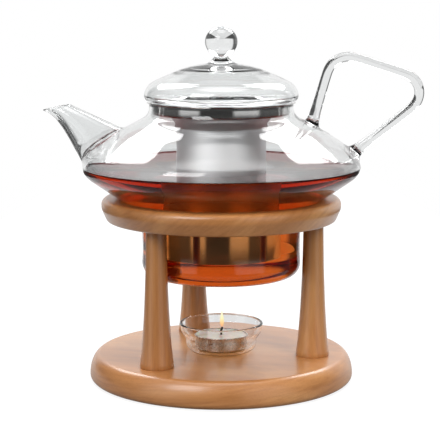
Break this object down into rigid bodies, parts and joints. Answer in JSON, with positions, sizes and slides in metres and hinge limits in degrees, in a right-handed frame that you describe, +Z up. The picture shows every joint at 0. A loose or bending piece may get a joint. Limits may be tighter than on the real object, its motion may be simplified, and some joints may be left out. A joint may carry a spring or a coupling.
{
  "type": "glass teapot with warmer",
  "caption": "Wide blown-glass teapot with a domed lid, steel infuser, curved spout and rod loop handle, nested in a wooden ring warmer over a tealight in a glass cup.",
  "frame": {"origin": "centre of the wooden base's underside, on the axis of the pot, ring and base", "axes": "+Z up along the pot's axis, +X towards the handle, -X towards the spout, -Y towards the gap between the front left and the right leg"},
  "size_m": [0.2706, 0.1986, 0.253],
  "materials": {
    "glass": "clear blown borosilicate glass, polished",
    "candle_glass": "clear pressed glass, polished",
    "stainless_steel": "satin pressed stainless steel",
    "wood": "satin clear lacquer on a light brown, straight-grained wood",
    "dowel_wood": "raw beech",
    "zinc_plated_steel": "zinc plated",
    "aluminium": "thin drawn sheet, satin",
    "wax": "white paraffin wax, melted and glossy on top",
    "wick": "braided cotton, burnt at the tip",
    "tea": "clear amber tea",
    "flame": "small candle flame"
  },
  "bodies": {
    "stand": {"stand_ring": "wood", "stand_base": "wood", "leg_front_left": "wood", "leg_right": "wood", "leg_back": "wood", "dowel_front_left": "dowel_wood", "dowel_right": "dowel_wood", "dowel_back": "dowel_wood", "screw_front_left": "zinc_plated_steel", "screw_right": "zinc_plated_steel", "screw_back": "zinc_plated_steel"},
    "pot": {"pot_bowl": "glass", "spout": "glass", "handle": "glass"},
    "infuser": {"infuser_rim": "stainless_steel", "infuser_wall": "stainless_steel", "infuser_bottom": "stainless_steel"},
    "lid": {"lid_dome": "glass", "lid_knob": "glass"},
    "holder": {"candle_holder": "candle_glass"},
    "tealight": {"tealight_cup": "aluminium", "tealight_wax": "wax", "tealight_wick": "wick", "wick_sustainer": "zinc_plated_steel"}
  },
  "joints": [
    {"name": "pot_lift", "type": "slide", "parent": "stand", "child": "pot", "axis": [0, 0, 1], "range_m": [0, 0.08]},
    {"name": "infuser_lift", "type": "slide", "parent": "pot", "child": "infuser", "axis": [0, 0, 1], "range_m": [0, 0.13]},
    {"name": "lid_lift", "type": "slide", "parent": "infuser", "child": "lid", "axis": [0, 0, 1], "range_m": [0, 0.05]},
    {"name": "holder_slide", "type": "slide", "parent": "stand", "child": "holder", "axis": [0.309, -0.9511, 0], "range_m": [0, 0.13]},
    {"name": "tealight_lift", "type": "slide", "parent": "holder", "child": "tealight", "axis": [0, 0, 1], "range_m": [0, 0.022]}
  ]
}
